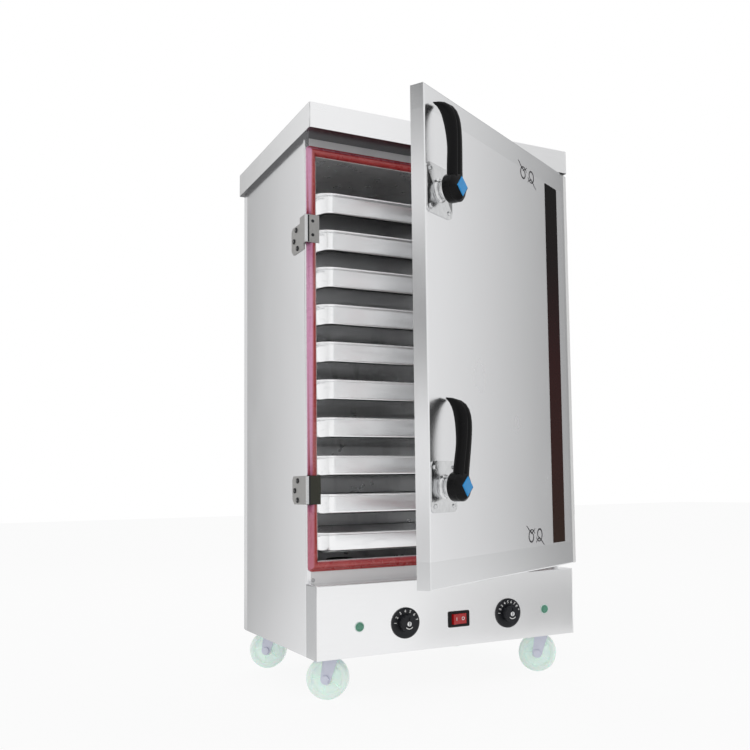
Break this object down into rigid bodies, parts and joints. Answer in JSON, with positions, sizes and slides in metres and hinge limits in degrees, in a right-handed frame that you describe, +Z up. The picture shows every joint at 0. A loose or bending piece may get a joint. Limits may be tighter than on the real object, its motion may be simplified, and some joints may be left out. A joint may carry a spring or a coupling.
{
  "type": "rice noodle roll steamer",
  "caption": "Single-door stainless steaming cabinet on swivel casters, with sliding trays over a water tank and a lower control box.",
  "frame": {"origin": "on the floor, under the middle of the cabinet's footprint, whose front is the control box and whose back is the back panel", "axes": "+X to the viewer's right, +Y to the back, +Z up; the front faces -Y"},
  "size_m": [0.7398, 0.9735, 1.367],
  "materials": {
    "brushed_body": "brushed stainless sheet",
    "door_steel": "brushed stainless sheet, satin",
    "liner_steel": "dull stainless chamber sheet",
    "tray_steel": "bright drawn stainless",
    "rack_steel": "satin stainless",
    "zinc_steel": "plain steel",
    "insulation_wool": "mineral wool",
    "red_silicone": "semi-gloss silicone",
    "black_plastic": "glossy moulded plastic",
    "blue_plastic": "glossy blue cap",
    "dark_trim": "dark glossy strip",
    "chrome_cast": "polished casting",
    "control_plastic": "moulded plastic",
    "red_rocker": "translucent red plastic",
    "green_lamp": "translucent green lens",
    "brass_fitting": "machined brass",
    "caster_zinc": "pale zinc",
    "mint_wheel": "translucent mint polyurethane",
    "heater_tube": "heater sheath"
  },
  "bodies": {
    "cabinet": {"side_panel_left": "brushed_body", "side_panel_right": "brushed_body", "back_panel": "brushed_body", "top_cap": "brushed_body", "base_pan": "zinc_steel", "control_panel": "brushed_body", "front_frame": "brushed_body", "inner_liner": "liner_steel", "insulation": "insulation_wool", "door_gasket": "red_silicone", "tray_rack_left": "rack_steel", "tray_rack_right": "rack_steel", "keepers": "zinc_steel", "hinge_frame_halves": "zinc_steel", "heating_elements": "heater_tube", "float_valve": "brass_fitting", "drain_valve": "brass_fitting", "steam_vent": "rack_steel", "thermostat_body": "control_plastic", "timer_body": "control_plastic", "switch_housing": "black_plastic", "indicator_lamps": "green_lamp", "cable_gland": "black_plastic", "contactor": "control_plastic", "caster_plates": "caster_zinc"},
    "door": {"door_skin": "door_steel", "door_liner": "door_steel", "door_core": "insulation_wool", "door_strip": "dark_trim", "latch_bases": "chrome_cast", "hinge_door_halves": "zinc_steel"},
    "handle_upper": {"handle_lever_upper": "black_plastic", "handle_badge_upper": "blue_plastic", "latch_cam_upper": "zinc_steel"},
    "handle_lower": {"handle_lever_lower": "black_plastic", "handle_badge_lower": "blue_plastic", "latch_cam_lower": "zinc_steel"},
    "tray_01": {"tray_01": "tray_steel"},
    "tray_02": {"tray_02": "tray_steel"},
    "tray_03": {"tray_03": "tray_steel"},
    "tray_04": {"tray_04": "tray_steel"},
    "tray_05": {"tray_05": "tray_steel"},
    "tray_06": {"tray_06": "tray_steel"},
    "tray_07": {"tray_07": "tray_steel"},
    "tray_08": {"tray_08": "tray_steel"},
    "tray_09": {"tray_09": "tray_steel"},
    "tray_10": {"tray_10": "tray_steel"},
    "thermostat_knob": {"thermostat_knob": "black_plastic"},
    "timer_knob": {"timer_knob": "black_plastic"},
    "power_rocker": {"power_rocker": "red_rocker"},
    "caster_front_left": {"caster_fork_front_left": "caster_zinc"},
    "wheel_front_left": {"caster_wheel_front_left": "mint_wheel"},
    "caster_front_right": {"caster_fork_front_right": "caster_zinc"},
    "wheel_front_right": {"caster_wheel_front_right": "mint_wheel"},
    "caster_back_left": {"caster_fork_back_left": "caster_zinc"},
    "wheel_back_left": {"caster_wheel_back_left": "mint_wheel"},
    "caster_back_right": {"caster_fork_back_right": "caster_zinc"},
    "wheel_back_right": {"caster_wheel_back_right": "mint_wheel"},
    "float_arm": {"float_arm": "rack_steel"},
    "drain_lever": {"drain_lever": "zinc_steel"}
  },
  "joints": [
    {"name": "door_swing", "type": "hinge", "parent": "cabinet", "child": "door", "pos_m": [0.37, -0.224, 0.78905], "axis": [0, 0, 1], "range_deg": [-29.84, 150]},
    {"name": "handle_lower_turn", "type": "hinge", "parent": "door", "child": "handle_lower", "pos_m": [-0.19326, -0.5878, 0.478], "axis": [-0.4976, 0.8674, 0], "range_deg": [0, 85]},
    {"name": "handle_upper_turn", "type": "hinge", "parent": "door", "child": "handle_upper", "pos_m": [-0.19326, -0.5878, 1.0884], "axis": [-0.4976, 0.8674, 0], "range_deg": [0, 95]},
    {"name": "tray_01_slide", "type": "slide", "parent": "cabinet", "child": "tray_01", "axis": [0, -1, 0], "range_m": [0, 0.05]},
    {"name": "tray_02_slide", "type": "slide", "parent": "cabinet", "child": "tray_02", "axis": [0, -1, 0], "range_m": [0, 0.05]},
    {"name": "tray_03_slide", "type": "slide", "parent": "cabinet", "child": "tray_03", "axis": [0, -1, 0], "range_m": [0, 0.05]},
    {"name": "tray_04_slide", "type": "slide", "parent": "cabinet", "child": "tray_04", "axis": [0, -1, 0], "range_m": [0, 0.05]},
    {"name": "tray_05_slide", "type": "slide", "parent": "cabinet", "child": "tray_05", "axis": [0, -1, 0], "range_m": [0, 0.05]},
    {"name": "tray_06_slide", "type": "slide", "parent": "cabinet", "child": "tray_06", "axis": [0, -1, 0], "range_m": [0, 0.05]},
    {"name": "tray_07_slide", "type": "slide", "parent": "cabinet", "child": "tray_07", "axis": [0, -1, 0], "range_m": [0, 0.05]},
    {"name": "tray_08_slide", "type": "slide", "parent": "cabinet", "child": "tray_08", "axis": [0, -1, 0], "range_m": [0, 0.05]},
    {"name": "tray_09_slide", "type": "slide", "parent": "cabinet", "child": "tray_09", "axis": [0, -1, 0], "range_m": [0, 0.05]},
    {"name": "tray_10_slide", "type": "slide", "parent": "cabinet", "child": "tray_10", "axis": [0, -1, 0], "range_m": [0, 0.05]},
    {"name": "thermostat_knob_turn", "type": "hinge", "parent": "cabinet", "child": "thermostat_knob", "pos_m": [-0.132, -0.277, 0.164], "axis": [0, 1, 0], "range_deg": [0, 270]},
    {"name": "timer_knob_turn", "type": "hinge", "parent": "cabinet", "child": "timer_knob", "pos_m": [0.149, -0.277, 0.164], "axis": [0, 1, 0], "range_deg": [0, 300]},
    {"name": "power_rocker_tip", "type": "hinge", "parent": "cabinet", "child": "power_rocker", "pos_m": [0.01, -0.271, 0.1615], "axis": [0, 0, -1], "range_deg": [0, 16]},
    {"name": "caster_front_left_swivel", "type": "hinge", "parent": "cabinet", "child": "caster_front_left", "pos_m": [-0.288, -0.222, 0.103], "axis": [0, 0, 1], "continuous": true},
    {"name": "wheel_front_left_roll", "type": "hinge", "parent": "caster_front_left", "child": "wheel_front_left", "pos_m": [-0.29947, -0.21397, 0.048], "axis": [0.5736, 0.8192, 0], "continuous": true},
    {"name": "caster_front_right_swivel", "type": "hinge", "parent": "cabinet", "child": "caster_front_right", "pos_m": [0.288, -0.222, 0.103], "axis": [0, 0, 1], "continuous": true},
    {"name": "wheel_front_right_roll", "type": "hinge", "parent": "caster_front_right", "child": "wheel_front_right", "pos_m": [0.27653, -0.21397, 0.048], "axis": [0.5736, 0.8192, 0], "continuous": true},
    {"name": "caster_back_left_swivel", "type": "hinge", "parent": "cabinet", "child": "caster_back_left", "pos_m": [-0.288, 0.218, 0.103], "axis": [0, 0, 1], "continuous": true},
    {"name": "wheel_back_left_roll", "type": "hinge", "parent": "caster_back_left", "child": "wheel_back_left", "pos_m": [-0.29947, 0.22603, 0.048], "axis": [0.5736, 0.8192, 0], "continuous": true},
    {"name": "caster_back_right_swivel", "type": "hinge", "parent": "cabinet", "child": "caster_back_right", "pos_m": [0.288, 0.218, 0.103], "axis": [0, 0, 1], "continuous": true},
    {"name": "wheel_back_right_roll", "type": "hinge", "parent": "caster_back_right", "child": "wheel_back_right", "pos_m": [0.27653, 0.22603, 0.048], "axis": [0.5736, 0.8192, 0], "continuous": true},
    {"name": "float_arm_rise", "type": "hinge", "parent": "cabinet", "child": "float_arm", "pos_m": [-0.25, 0.2055, 0.3], "axis": [-1, 0, 0], "range_deg": [-3, 6]},
    {"name": "drain_lever_turn", "type": "hinge", "parent": "cabinet", "child": "drain_lever", "pos_m": [0.23, 0.295, 0.195], "axis": [0, 0, -1], "range_deg": [0, 90]}
  ]
}
